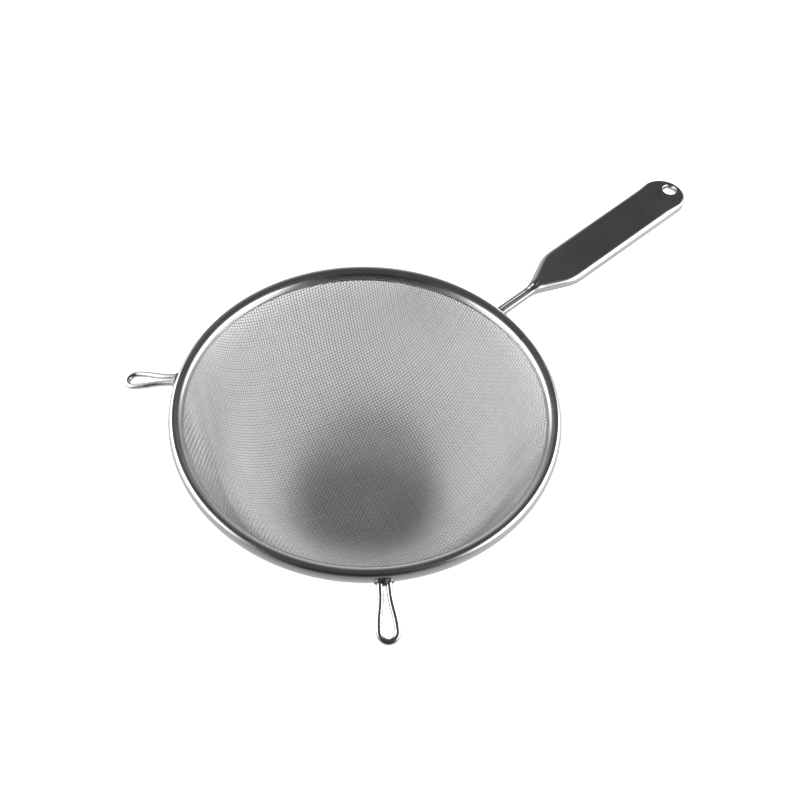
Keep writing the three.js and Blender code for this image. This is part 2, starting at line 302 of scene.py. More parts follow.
@dataclass(frozen=True)
class WovenFinish:
    """Fine stainless wire as it comes off the loom: soft grey, no two wires quite the same tone."""

    name: str = "woven_stainless_wire"
    light: str = "#d2d3d4"
    dark: str = "#acadaf"
    roughness: float = 0.4
    roughness_spread: float = 0.06
    cloud_width: float = 22 * MM
    cloud_detail: float = 3.0
    cloud_share: float = 0.45
    cloud_low: float = 0.3
    cloud_high: float = 0.7

    def build(self) -> bpy.types.Material:
        """Makes the material, which reads each wire's tone from the mesh.

        Returns:
            A soft grey metal.
        """
        material = bpy.data.materials.new(self.name)
        material.use_nodes = True
        tree = material.node_tree
        tree.nodes.clear()
        place = add_node(tree, "TexCoord").outputs["Object"]
        tone = add_node(tree, "Attribute", {"attribute_name": "tone"})
        clouds = add_node(tree, "TexNoise",
                          values={"Scale": 1 / self.cloud_width, "Detail": self.cloud_detail},
                          links={"Vector": place})
        blend = add_node(tree, "Mix", {"data_type": "FLOAT"}, {0: self.cloud_share},
                         {2: tone.outputs["Fac"], 3: clouds.outputs[0]})
        tint = add_node(tree, "Mix", {"data_type": "RGBA"},
                        {6: linear(self.dark), 7: linear(self.light)}, {0: blend.outputs[0]})
        shine = add_node(tree, "MapRange",
                         values={"From Min": self.cloud_low, "From Max": self.cloud_high,
                                 "To Min": self.roughness - self.roughness_spread,
                                 "To Max": self.roughness + self.roughness_spread},
                         links={"Value": clouds.outputs[0]})
        metal = add_node(tree, "BsdfPrincipled", values={"Metallic": 1.0},
                         links={"Base Color": tint.outputs[2], "Roughness": shine.outputs[0]})
        add_node(tree, "OutputMaterial", links={"Surface": metal.outputs[0]})
        return material


@dataclass(frozen=True)
class RimLine:
    """Where the rim's roll runs: the middle of its oval section, and the section's half sizes."""

    radius: float = 96.36 * MM
    height: float = 68.42 * MM
    half_width: float = 3.638 * MM
    half_height: float = 4.19 * MM

    @property
    def outer_radius(self) -> float:
        """The rim's outside radius."""
        return self.radius + self.half_width


RIM = RimLine()


@dataclass
class WireCloth:
    """The bowl: two sets of wires, woven over and under each other and pressed to a bowl.

    weave_turn is in degrees. crest_half is half the flat crest over a crossing, as a share of the
    pitch, and net_tolerance is how far a crossing may miss, as a share of the pitch too.
    """

    pitch: float = 1.66 * MM
    wire_radius: float = 0.21 * MM
    weave_turn: float = -15.8
    flat_radius: float = 26 * MM
    blend_radius: float = 58 * MM
    hem_radius: float = 2.12 * MM
    wire_end_height: float = 70.6 * MM
    net_end_height: float = 72.0 * MM
    crest_half: float = 0.25
    newton_steps: int = 12
    net_tolerance: float = 0.01
    least_crossings: int = 3
    least_points: int = 4
    wire_sides: int = 4
    seed: int = 7
    wall_angle: float = field(init=False)
    wall_radius: float = field(init=False)
    wall_height: float = field(init=False)
    end_radius: float = field(init=False)

    def __post_init__(self) -> None:
        """Works out the wall's slope and where the blend hands over to the straight wall."""
        across = RIM.radius - self.flat_radius
        up = RIM.height - self.floor_height - self.blend_radius
        lean = math.asin((self.blend_radius + self.hem_radius) / math.hypot(across, up))
        self.wall_angle = math.atan2(up, across) + lean
        self.wall_radius = self.flat_radius + self.blend_radius * math.sin(self.wall_angle)
        self.wall_height = self.floor_height + self.blend_radius * (1 - math.cos(self.wall_angle))
        straight = (self.net_end_height - self.wall_height) / math.tan(self.wall_angle)
        self.end_radius = self.wall_radius + straight

    @property
    def floor_height(self) -> float:
        """Height of the middle of the cloth over the flat bottom."""
        return 2 * self.wire_radius

    def surface(self, radius: np.ndarray) -> tuple[np.ndarray, np.ndarray]:
        """Height and slope of the middle of the cloth.

        Args:
            radius: Distances from the bowl's axis.

        Returns:
            The heights there and the slopes there.
        """
        inside = np.clip(radius - self.flat_radius, 0, self.wall_radius - self.flat_radius)
        drop = np.sqrt(self.blend_radius ** 2 - inside ** 2)
        past = np.maximum(radius - self.wall_radius, 0)
        slope = np.where(past > 0, math.tan(self.wall_angle), inside / drop)
        height = self.floor_height + self.blend_radius - drop + past * math.tan(self.wall_angle)
        return height, slope

    def meridian(self, length: np.ndarray) -> np.ndarray:
        """Follows the cloth straight out from the middle of the bottom.

        Args:
            length: Lengths along the cloth.

        Returns:
            The distances from the bowl's axis there.
        """
        blend_length = self.blend_radius * self.wall_angle
        angle = np.clip((length - self.flat_radius) / self.blend_radius, 0, self.wall_angle)
        past = np.maximum(length - self.flat_radius - blend_length, 0)
        return (np.minimum(length, self.flat_radius) + self.blend_radius * np.sin(angle)
                + past * math.cos(self.wall_angle))

    def next_crossings(self, first: np.ndarray, second: np.ndarray,
                       guess: np.ndarray) -> np.ndarray:
        """Finds the points on the bowl that lie one pitch from two crossings each, by Newton steps.

        Args:
            first: The crossings before them along one set of wires.
            second: The crossings before them along the other set.
            guess: Where the steps start, in plan.

        Returns:
            The places, with not-a-number where there is none inside the cloth's edge.
        """
        point = guess
        for _ in range(self.newton_steps):
            radius = np.maximum(np.hypot(*point.T), TINY)
            height, slope = self.surface(radius)
            place = np.column_stack([point, height])
            climb = point * (slope / radius)[:, None]
            from_first, from_second = place - first, place - second
            row_a = from_first[:, :2] + from_first[:, 2:] * climb
            row_b = from_second[:, :2] + from_second[:, 2:] * climb
            miss_a = (np.sum(from_first ** 2, 1) - self.pitch ** 2) / 2
            miss_b = (np.sum(from_second ** 2, 1) - self.pitch ** 2) / 2
            area = row_a[:, 0] * row_b[:, 1] - row_a[:, 1] * row_b[:, 0]
            point = point - np.column_stack([
                (miss_a * row_b[:, 1] - miss_b * row_a[:, 1]) / area,
                (miss_b * row_a[:, 0] - miss_a * row_b[:, 0]) / area])
        radius = np.hypot(*point.T)
        place = np.column_stack([point, self.surface(np.nan_to_num(radius))[0]])
        miss = np.abs(np.linalg.norm(place - first, axis=1) - self.pitch)
        held = (radius < self.end_radius) & (miss < self.net_tolerance * self.pitch)
        place[~held] = np.nan
        return place

    def quarter_net(self) -> np.ndarray:
        """Crossings of the wires in one quarter of the bowl.

        Wires keep their pitch along themselves, so each new crossing lies one pitch from the two
        crossings before it and on the bowl.

        Returns:
            Places by wire number both ways, with not-a-number past the cloth's edge.
        """
        reach = (self.flat_radius + self.blend_radius * self.wall_angle
                 + (self.end_radius - self.wall_radius) / math.cos(self.wall_angle))
        count = int(reach / self.pitch) + 1
        net = np.full((count, count, 3), np.nan)
        axis = self.meridian(np.arange(count) * self.pitch)
        net[:, 0] = np.stack([axis, 0 * axis, self.surface(axis)[0]], 1)
        net[0, :] = np.stack([0 * axis, axis, self.surface(axis)[0]], 1)
        for total in range(2, 2 * count - 1):
            i = np.arange(max(1, total - count + 1), min(total, count))
            j = total - i
            first, second = net[i - 1, j], net[i, j - 1]
            guess = (first + second - net[i - 1, j - 1])[:, :2]
            net[i, j] = self.next_crossings(first, second, guess)
        return net

    def whole_net(self) -> np.ndarray:
        """The net of the whole bowl, mirrored from one quarter and turned to its place.

        Returns:
            Places by wire number both ways, with not-a-number past the cloth's edge.
        """
        quarter = self.quarter_net()
        count = len(quarter)
        whole = np.full((2 * count - 1, 2 * count - 1, 3), np.nan)
        for side_x in (1, -1):
            for side_y in (1, -1):
                rows = count - 1 + side_x * np.arange(count)
                columns = count - 1 + side_y * np.arange(count)
                whole[np.ix_(rows, columns)] = quarter * (side_x, side_y, 1)
        turn = np.array(Matrix.Rotation(math.radians(self.weave_turn), 3, "Z"))
        return whole @ turn.T

    def wire_line(self, crossings: np.ndarray, first_over: bool) -> tuple[np.ndarray, np.ndarray]:
        """Middle line of one wire, with a flat crest over or under each wire that it crosses.

        Args:
            crossings: The wire's crossings in order.
            first_over: Whether it passes over the first wire.

        Returns:
            Points of the line and the cloth's normal at each.
        """
        radius = np.maximum(np.hypot(crossings[:, 0], crossings[:, 1]), TINY)
        slope = self.surface(radius)[1]
        lean = -crossings[:, :2] * (slope / radius)[:, None]
        normal = np.column_stack([lean, np.ones(len(radius))])
        normal /= np.linalg.norm(normal, axis=1)[:, None]
        side = np.where(np.arange(len(crossings)) % 2 == 0, 1, -1) * (1 if first_over else -1)
        crest = crossings + normal * (side * self.wire_radius)[:, None]
        step = np.diff(crossings, axis=0)
        line = np.empty((2 * len(step), 3))
        line[0::2] = crest[:-1] + step * self.crest_half
        line[1::2] = crest[1:] - step * self.crest_half
        normals = np.empty_like(line)
        normals[0::2] = normal[:-1]
        normals[1::2] = normal[1:]
        kept = line[:, 2] < self.wire_end_height
        return line[kept], normals[kept]

    def wires(self, net: np.ndarray, shift: int) -> list[tuple[np.ndarray, np.ndarray]]:
        """Lines of one set of wires, each a row of the net.

        Args:
            net: The crossings, one wire to a row.
            shift: 0 for the set that passes over at the even crossings, 1 for the other set.

        Returns:
            The middle line and normals of each wire that is long enough to show.
        """
        lines = []
        for number, row in enumerate(net):
            held = np.flatnonzero(~np.isnan(row[:, 0]))
            if len(held) < self.least_crossings:
                continue
            first_over = (number + held[0] + shift) % 2 == 0
            line = self.wire_line(row[held[0]:held[-1] + 1], first_over)
            if len(line[0]) >= self.least_points:
                lines.append(line)
        return lines

    def wire_mesh(self, name: str, lines: list[tuple[np.ndarray, np.ndarray]],
                  rng: np.random.Generator) -> bpy.types.Object:
        """One piece of cloth: a closed tube along each line.

        Args:
            name: The piece's name.
            lines: Middle lines with normals.
            rng: Draws each wire's tone.

        Returns:
            The piece.
        """
        corners = np.arange(self.wire_sides)
        angles = 2 * math.pi * corners / self.wire_sides
        points, faces, tones = [], [], []
        start = 0
        for line, normal in lines:
            along = np.gradient(line, axis=0)
            along /= np.linalg.norm(along, axis=1)[:, None]
            across = np.cross(along, normal)
            across /= np.linalg.norm(across, axis=1)[:, None]
            out = np.cross(across, along)
            ring = (out[:, None] * np.cos(angles)[None, :, None]
                    + across[:, None] * np.sin(angles)[None, :, None])
            points.append((line[:, None] + ring * self.wire_radius).reshape(-1, 3))
            count = len(line) * self.wire_sides
            index = start + np.arange(count).reshape(len(line), self.wire_sides)
            after = np.roll(index, -1, axis=1)
            sides = np.stack([index[:-1], after[:-1], after[1:], index[1:]], -1)
            faces.append(sides.reshape(-1, 4))
            faces.append(np.stack([index[0][::-1], index[-1]]))
            tones.append(np.full(count, rng.uniform()))
            start += count
        mesh = bpy.data.meshes.new(name)
        mesh.from_pydata(np.concatenate(points), [], np.concatenate(faces))
        tone = mesh.attributes.new("tone", "FLOAT", "POINT")
        tone.data.foreach_set("value", np.concatenate(tones))
        piece = bpy.data.objects.new(name, mesh)
        bpy.context.scene.collection.objects.link(piece)
        return piece

    def build(self) -> list[bpy.types.Object]:
        """Weaves the bowl in four pieces, so that each stays light.

        Returns:
            The pieces, dressed.
        """
        net = self.whole_net()
        rng = np.random.default_rng(self.seed)
        material = WovenFinish().build()
        pieces = []
        warp, weft = self.wires(net, 0), self.wires(net.transpose(1, 0, 2), 1)
        for name, lines in (("cloth_warp", warp), ("cloth_weft", weft)):
            half = len(lines) // 2
            for end, part in (("a", lines[:half]), ("b", lines[half:])):
                piece = self.wire_mesh(f"{name}_{end}", part, rng)
                pieces.append(finish_piece(piece, material, ("mesh_bowl",),
                                           SMOOTH_ALL))
        return pieces


@dataclass
class RolledRim:
    """The rim: a strip rolled over the cloth's edge, steeper outside than in, with a butt seam.

    Angles are in degrees. lip_stations are the shares of the inner lip's run that get a point.
    """

    sheet: float = 0.7 * MM
    crest_shift: float = 1.0 * MM
    inner_lip: float = 150.0
    outer_lip: float = -139.0
    lip_run: float = 2.0 * MM
    lip_slope: float = 63.0
    lip_stations: tuple[float, ...] = (0.3, 0.85, 1.0)
    seam_angle: float = -13.4
    seam_width: float = 0.25 * MM
    seam_step: float = 0.16 * MM
    seam_spread: float = 7.0
    arc_points: int = 56
    lip_points: int = 4
    spin_steps: int = 240

    def arc(self, depth: float) -> np.ndarray:
        """One face of the roll, from the outer lip over the crest to the inner lip.

        Args:
            depth: How deep in the sheet the face lies: 0 for its outside.

        Returns:
            The face's (radius, height) points.
        """
        angle = np.radians(np.linspace(self.outer_lip, self.inner_lip, self.arc_points))
        width = RIM.half_width - depth - np.sign(np.cos(angle)) * self.crest_shift
        return np.column_stack([RIM.radius + self.crest_shift + width * np.cos(angle),
                                RIM.height + (RIM.half_height - depth) * np.sin(angle)])

    def lip(self, start: np.ndarray, end: np.ndarray) -> np.ndarray:
        """The rounded edge of the sheet from one face to the other.

        Args:
            start: Where the first face ends.
            end: Where the other face starts.

        Returns:
            The points between them.
        """
        middle, arm = (start + end) / 2, (start - end) / 2
        ahead = np.array([-arm[1], arm[0]])
        angle = np.linspace(0, math.pi, self.lip_points + 2)[1:-1]
        return middle + np.outer(np.cos(angle), arm) + np.outer(np.sin(angle), ahead)

    def section(self) -> np.ndarray:
        """Works out the strip's section.

        Returns:
            Its closed outline, as (radius, height) points.
        """
        slope = math.radians(self.lip_slope)
        run = self.lip_run * np.array([-math.cos(slope), -math.sin(slope)])
        outside, inside = self.arc(0), self.arc(self.sheet)[::-1]
        outside = np.concatenate([outside, outside[-1] + np.outer(self.lip_stations, run)])
        inside = np.concatenate([inside[0] + np.outer(self.lip_stations[::-1], run), inside])
        return np.concatenate([outside, self.lip(outside[-1], inside[0]),
                               inside, self.lip(inside[-1], outside[0])])

    def build(self) -> bpy.types.Object:
        """Spins the section round the bowl and leaves a seam whose ends don't quite meet.

        Returns:
            The rim, dressed.
        """
        radius, height = self.section().T
        slit = self.seam_width / RIM.outer_radius
        first = math.radians(self.seam_angle) + slit / 2
        bpy.ops.object.select_all(action="DESELECT")
        bpy.ops.mesh.primitive_circle_add(vertices=len(radius), fill_type="NGON")
        piece = edit_new("rolled_rim")
        place_loop(piece, np.column_stack([radius * math.cos(first), radius * math.sin(first),
                                           height]))
        bpy.ops.mesh.select_all(action="SELECT")
        bpy.ops.mesh.spin(steps=self.spin_steps, angle=2 * math.pi - slit, center=(0, 0, 0),
                          axis=(0, 0, 1))
        bpy.ops.mesh.select_all(action="SELECT")
        bpy.ops.mesh.normals_make_consistent(inside=False)
        bpy.ops.object.mode_set(mode="OBJECT")
        for vertex in piece.data.vertices:
            turn = math.degrees(math.atan2(vertex.co.y, vertex.co.x)) - self.seam_angle
            if 0 < turn < self.seam_spread:
                vertex.co.z -= self.seam_step * (1 - turn / self.seam_spread) ** 2
        return finish_piece(piece, ROLLED_STRIP.build(), ("rim_band",))


@dataclass(frozen=True)
class WeldPuddle:
    """An uneven rounded lump of weld metal.

    place is its middle before it is turned about the bowl's axis by its angle, in degrees. The
    waves, in radians to a metre each way, and the unevenness, as a share, make its skin uneven.
    """

    name: str
    slot: str
    place: Vector
    half_size: Vector
    angle: float = 0.0
    waves: tuple[float, float, float] = (900.0, 2100.0, 1700.0)
    wave_start: float = 1.0
    unevenness: float = 0.05
    subdivisions: int = 4

    def build(self, material: bpy.types.Material) -> bpy.types.Object:
        """Shapes the lump from a ball.

        Args:
            material: Its material.

        Returns:
            The lump, dressed.
        """
        bpy.ops.object.select_all(action="DESELECT")
        bpy.ops.mesh.primitive_ico_sphere_add(subdivisions=self.subdivisions, radius=1)
        piece = edit_new(self.name)
        bpy.ops.mesh.select_all(action="SELECT")
        bpy.ops.transform.resize(value=self.half_size)
        bpy.ops.transform.translate(value=self.place)
        bpy.ops.object.mode_set(mode="OBJECT")
        turn = Matrix.Rotation(math.radians(self.angle), 4, "Z")
        wave_x, wave_y, wave_z = self.waves
        for vertex in piece.data.vertices:
            x, y, z = vertex.co
            wave = math.sin(y * wave_y + self.wave_start) * math.sin(z * wave_z + x * wave_x)
            swell = 1 + self.unevenness * wave
            vertex.co = turn @ (self.place + (vertex.co - self.place) * swell)
        return finish_piece(piece, material, (), SMOOTH_ALL)


@dataclass
class PressedHandle:
    """The handle: one sheet pressed to a plate with turned-down sides and a channel neck.

    Lengths along the handle are from the bowl's axis. The kept pairs say which of a straight run's
    points are used, the shares are of the half width, and the groove's stations are shares of its
    slope's width and of its depth. smooth_angle is in degrees.
    """

    sheet: float = 0.8 * MM
    lift: float = 1.8 * MM
    neck_start: float = 98.0 * MM
    neck_half_width: float = 2.5 * MM
    neck_height: float = 3.2 * MM
    neck_edge: float = 0.9 * MM
    neck_steps: int = 8
    groove_depth: float = 0.75 * MM
    groove_slope: float = 1.1 * MM
    groove_ramp: float = 2.0 * MM
    groove_share: float = 0.9
    groove_stations: tuple[tuple[float, float], ...] = ((0, 0), (0.5, 0.55), (1, 1))
    tip: float = 123 * MM
    tip_edge: float = 3.2 * MM
    tip_blend: float = 8 * MM
    tip_fillet: float = 3.5 * MM
    tip_clearance: float = 1 * MM
    tip_steps: int = 9
    fork: float = 3 * MM
    rise: float = 3.5 * MM
    flare_steps: int = 17
    flare_kept: tuple[int, int] = (3, 12)
    shoulder: float = 146 * MM
    shoulder_half_width: float = 12.8 * MM
    shoulder_rounding: float = 5.5 * MM
    shoulder_steps: int = 10
    side_steps: int = 12
    side_kept: tuple[int, int] = (2, 11)
    end: float = 251 * MM
    end_half_width: float = 13.2 * MM
    end_steps: int = 20
    plate_height: float = 5.0 * MM
    plate_edge: float = 2.8 * MM
    tail_edge: float = 1.5 * MM
    tail_blend: float = 9 * MM
    edge_share: float = 0.68
    edge_steps: int = 7
    flat_margin: float = 0.1 * MM
    top_margin: float = 0.1 * MM
    hole_from_end: float = 6.6 * MM
    hole_radius: float = 4.1 * MM
    hole_dish: float = 0.6 * MM
    hole_margin: float = 1.1
    hole_collar: float = 2.2 * MM
    hole_taper: float = math.radians(74)
    hole_surround: float = 1.8 * MM
    hole_steps: int = 5
    hole_sides: int = 48
    smooth_angle: float = 35.0
    weld_inset: float = 0.6 * MM
    weld_lift: float = 2.2 * MM

    def side_line(self) -> np.ndarray:
        """Draws one long side of the plan outline.

        Returns:
            Its points, from the neck's start to the middle of the round end.
        """
        neck = np.array([self.neck_start, self.neck_half_width])
        tip = np.array([self.tip, self.neck_half_width])
        shoulder = np.array([self.shoulder, self.shoulder_half_width])
        centre = np.array([self.end - self.end_half_width, 0])
        tangent = centre + (0, self.end_half_width)
        neck_end = tip - (self.tip_fillet + self.tip_clearance, 0)
        angle = np.linspace(math.pi / 2, 0, self.end_steps)
        return np.concatenate([
            np.linspace(neck, neck_end, self.neck_steps),
            rounded_corner(neck, tip, shoulder, self.tip_fillet, self.tip_steps),
            np.linspace(tip, shoulder, self.flare_steps)[slice(*self.flare_kept)],
            rounded_corner(tip, shoulder, tangent, self.shoulder_rounding, self.shoulder_steps),
            np.linspace(shoulder, tangent, self.side_steps)[slice(*self.side_kept)],
            centre + self.end_half_width * np.column_stack([np.cos(angle), np.sin(angle)]),
        ])

    def outline(self) -> np.ndarray:
        """Counterclockwise plan outline."""
        side = self.side_line()
        return np.concatenate([side * (1, -1), side[-2::-1]])

    def edge_sizes(self, plan: np.ndarray, room: np.ndarray) -> np.ndarray:
        """Radius of the bend from the top to the sides.

        Args:
            plan: The plan outline.
            room: Half the width that there is at each of its points.

        Returns:
            The radius at each of its points.
        """
        along = plan[:, 0]
        near_tip = smooth_step(self.tip - self.rise, self.tip + self.fork, along)
        past_tip = smooth_step(self.tip + self.fork, self.shoulder, along)
        edge = self.neck_edge + near_tip * (self.tip_edge - self.neck_edge)
        edge = edge + past_tip * (self.plate_edge - self.tip_edge)
        edge = np.minimum(edge, self.edge_share * room)
        hole_start = self.end - self.hole_from_end - self.hole_radius
        tail = smooth_step(hole_start - self.tail_blend, hole_start, along)
        return edge - tail * (self.plate_edge - self.tail_edge)

    def rings(self) -> list[np.ndarray]:
        """Works out the sheet's outer face.

        Returns:
            Its loops, from the sides' lower edge up and in to the flat top.
        """
        plan = self.outline()
        along = plan[:, 0]
        steps = (plan - np.roll(plan, 1, axis=0), np.roll(plan, -1, axis=0) - plan)
        inward = [np.column_stack([-step[:, 1], step[:, 0]]) for step in steps]
        inward = [normal / np.linalg.norm(normal, axis=1)[:, None] for normal in inward]
        corner = inward[0] + inward[1]
        corner /= np.linalg.norm(corner, axis=1)[:, None]
        corner /= np.sum(corner * inward[0], axis=1)[:, None]
        part = smooth_step(self.tip - self.rise, self.tip + self.rise, along)
        climb = part * (self.plate_height - self.neck_height)
        top = RIM.height + self.lift + self.neck_height + climb
        room = np.where(along < self.shoulder, np.abs(plan[:, 1]), self.end_half_width)
        edge = self.edge_sizes(plan, room)
        loops = [np.column_stack([plan, np.full(len(plan), RIM.height + self.lift)])]
        for angle in np.linspace(0, math.pi / 2, self.edge_steps):
            inset = edge * (1 - math.cos(angle))
            height = top - edge * (1 - math.sin(angle))
            loops.append(np.column_stack([plan + corner * inset[:, None], height]))
        stop = self.tip + self.fork
        flat = edge + self.flat_margin
        depth = self.groove_depth * (1 - smooth_step(stop - self.groove_ramp, stop, along))
        on_plate = smooth_step(stop, stop + self.tip_blend, along)
        slope = np.minimum(2 * self.groove_slope, self.groove_share * room - flat)
        span = slope * (1 - on_plate) + self.top_margin * on_plate
        for share, fall in self.groove_stations:
            inset = flat + share * span
            loops.append(np.column_stack([plan + corner * inset[:, None], top - depth * fall]))
        return loops

    def hole_loops(self) -> list[np.ndarray]:
        """Works out the hang hole.

        Returns:
            Its loops, from the flat top down its dished edge to the end of its collar.
        """
        top = RIM.height + self.lift + self.plate_height
        angle = np.linspace(0, 2 * math.pi, self.hole_sides, endpoint=False)
        circle = np.column_stack([np.cos(angle), np.sin(angle)])
        centre = np.array([self.end - self.hole_from_end, 0])
        steps = [(self.hole_radius + self.hole_dish * self.hole_margin, 0.0),
                 (self.hole_radius + self.hole_dish, 0.0)]
        for turn in np.linspace(0, self.hole_taper, self.hole_steps)[1:]:
            steps.append((self.hole_radius + self.hole_dish * (1 - math.sin(turn)),
                          self.hole_dish * (1 - math.cos(turn))))
        radius, depth = steps[-1]
        narrowing = (self.hole_collar - depth) / math.tan(self.hole_taper)
        steps.append((radius - narrowing, self.hole_collar))
        return [np.column_stack([centre + circle * radius, np.full(self.hole_sides, top - depth)])
                for radius, depth in steps]

    def fill_top(self, piece: bpy.types.Object, ring: np.ndarray) -> None:
        """Closes the plate's top with quads across it, and round the hang hole with a fill.

        Args:
            piece: The handle, in edit mode.
            ring: The innermost loop, counterclockwise.
        """
        shape = bmesh.from_edit_mesh(piece.data)
        count = len(ring)
        held = {}
        for vertex in shape.verts:
            near = np.linalg.norm(ring - np.array(vertex.co), axis=1)
            if near.min() < SAME_PLACE:
                held[int(near.argmin())] = vertex
        hole_zone = self.end - self.hole_from_end - self.hole_radius - self.hole_surround
        last = max(i for i in range(count // 2) if ring[i, 0] < hole_zone)
        for i in range(last):
            shape.faces.new((held[i], held[i + 1], held[count - 2 - i], held[count - 1 - i]))
        rim = [held[i] for i in range(last, count - last)]
        circles = [[shape.verts.new(point) for point in loop] for loop in self.hole_loops()]
        for upper, lower in zip(circles, circles[1:]):
            for k in range(self.hole_sides):
                following = (k + 1) % self.hole_sides
                shape.faces.new((upper[k], lower[k], lower[following], upper[following]))
        for edge in shape.edges:
            edge.select_set(False)
        closing = []
        for loop in (rim, circles[0]):
            for pair in zip(loop, loop[1:] + loop[:1]):
                closing.append(shape.edges.get(pair) or shape.edges.new(pair))
        bmesh.update_edit_mesh(piece.data)
        bpy.ops.mesh.select_mode(type="EDGE")
        for edge in closing:
            edge.select_set(True)
        bmesh.update_edit_mesh(piece.data)
        bpy.ops.mesh.fill(use_beauty=True)

    def build(self) -> bpy.types.Object:
        """Extrudes the sheet's outer face loop by loop, fills its top and gives it a thickness.

        Returns:
            The handle, dressed.
        """
        loops = self.rings()
        bpy.ops.object.select_all(action="DESELECT")
        bpy.ops.mesh.primitive_circle_add(vertices=len(loops[0]))
        piece = edit_new("pressed_handle")
        place_loop(piece, loops[0])
        bpy.ops.mesh.select_all(action="SELECT")
        for old, new in zip(loops, loops[1:]):
            extrude_loop(piece, old, new)
        self.fill_top(piece, loops[-1])
        bpy.ops.mesh.select_all(action="SELECT")
        bpy.ops.mesh.remove_doubles(threshold=MERGE_DISTANCE)
        bpy.ops.mesh.normals_make_consistent(inside=False)
        shape = bmesh.from_edit_mesh(piece.data)
        if max(shape.faces, key=lambda face: face.calc_area()).normal.z < 0:
            bpy.ops.mesh.flip_normals()
        bpy.ops.object.mode_set(mode="OBJECT")
        wall = piece.modifiers.new("sheet", "SOLIDIFY")
        wall.thickness = self.sheet
        wall.offset = -1
        wall.use_even_offset = True
        bpy.ops.object.modifier_apply(modifier=wall.name)
        return finish_piece(piece, MIRROR_SHEET.build(), ("handle_shell",),
                            self.smooth_angle)

    def build_weld(self, material: bpy.types.Material) -> bpy.types.Object:
        """Sets the puddle of weld metal where the neck meets the rim.

        Args:
            material: The weld's material.

        Returns:
            The puddle.
        """
        place = Vector((RIM.outer_radius - self.weld_inset, 0, RIM.height + self.weld_lift))
        half_size = Vector((1.9, 3.6, 1.5)) * MM
        return WeldPuddle("handle_weld", "mirror_sheet", place, half_size).build(material)


@dataclass
class PotRest:
    """A keyhole loop of wire, welded to the rim by its two ends.

    angle and smooth_angle are in degrees. flare_bend says how slowly the two legs part.
    """

    name: str
    node: str
    angle: float
    wire_radius: float = 1.49 * MM
    length: float = 28.6 * MM
    root_gap: float = 1.4 * MM
    end_gap: float = 5.5 * MM
    parallel: float = 4 * MM
    root_drop: float = 0.4 * MM
    end_drop: float = 8 * MM
    root_inset: float = 2.0 * MM
    flare_bend: float = 0.42
    flare_steps: int = 16
    arc_steps: int = 14
    wire_rounding: int = 6
    smooth_angle: float = 60.0
    weld_inset: float = 0.1 * MM
    weld_drop: float = 0.2 * MM

    def path(self) -> np.ndarray:
        """Draws the middle line of the wire.

        Returns:
            Its points, along +X from the rim and back.
        """
        root_half = self.root_gap / 2 + self.wire_radius
        end_radius = self.end_gap / 2 + self.wire_radius
        arc_centre = RIM.outer_radius + self.length - self.wire_radius - end_radius
        parallel_end = RIM.outer_radius + self.parallel
        angle = np.linspace(math.pi / 2, 0, self.arc_steps)
        arc = np.column_stack([arc_centre + end_radius * np.cos(angle), end_radius * np.sin(angle)])
        part = np.linspace(0, 1, self.flare_steps)[:, None]
        start, stop = np.array([parallel_end, root_half]), arc[0]
        bend = (arc_centre - parallel_end) * self.flare_bend
        flare = (start * (1 - part) ** 3 + (start + (bend, 0)) * 3 * part * (1 - part) ** 2
                 + (stop - (bend, 0)) * 3 * part ** 2 * (1 - part) + stop * part ** 3)
        root = np.array([[RIM.outer_radius - self.root_inset, root_half],
                         [RIM.outer_radius + self.parallel / 2, root_half]])
        half = np.concatenate([root, flare[:-1], arc])
        plan = np.concatenate([half, half[-2::-1] * (1, -1)])
        fall = (self.end_drop - self.root_drop) / self.length
        height = RIM.height - self.root_drop - (plan[:, 0] - RIM.outer_radius) * fall
        return np.column_stack([plan, height])

    def build(self, wire: bpy.types.Material, weld: bpy.types.Material) -> bpy.types.Object:
        """Bends the wire and sets its weld.

        Args:
            wire: The wire's material.
            weld: The weld's material.

        Returns:
            The loop.
        """
        points = self.path()
        turn = np.array(Matrix.Rotation(math.radians(self.angle), 3, "Z"))
        curve = bpy.data.curves.new(self.name, "CURVE")
        curve.dimensions = "3D"
        curve.bevel_depth = self.wire_radius
        curve.bevel_resolution = self.wire_rounding
        curve.use_fill_caps = True
        spline = curve.splines.new("POLY")
        spline.points.add(len(points) - 1)
        for point, place in zip(spline.points, points @ turn.T):
            point.co = (*place, 1)
        piece = bpy.data.objects.new(self.name, curve)
        bpy.context.scene.collection.objects.link(piece)
        bpy.ops.object.select_all(action="DESELECT")
        piece.select_set(True)
        bpy.context.view_layer.objects.active = piece
        bpy.ops.object.convert(target="MESH")
        piece = bpy.context.object
        finish_piece(piece, wire, (self.node,), self.smooth_angle)
        self.build_weld(weld)
        return piece

    def build_weld(self, material: bpy.types.Material) -> bpy.types.Object:
        """Sets the puddle of weld metal between the two ends of the wire and the rim.

        Args:
            material: The weld's material.

        Returns:
            The puddle.
        """
        place = Vector((RIM.outer_radius - self.weld_inset, 0,
                        RIM.height - self.root_drop - self.weld_drop))
        half_size = Vector((2.3, 4.7, 2.5)) * MM
        puddle = WeldPuddle(self.name + "_weld", "rest_wire", place, half_size, self.angle)
        return puddle.build(material)


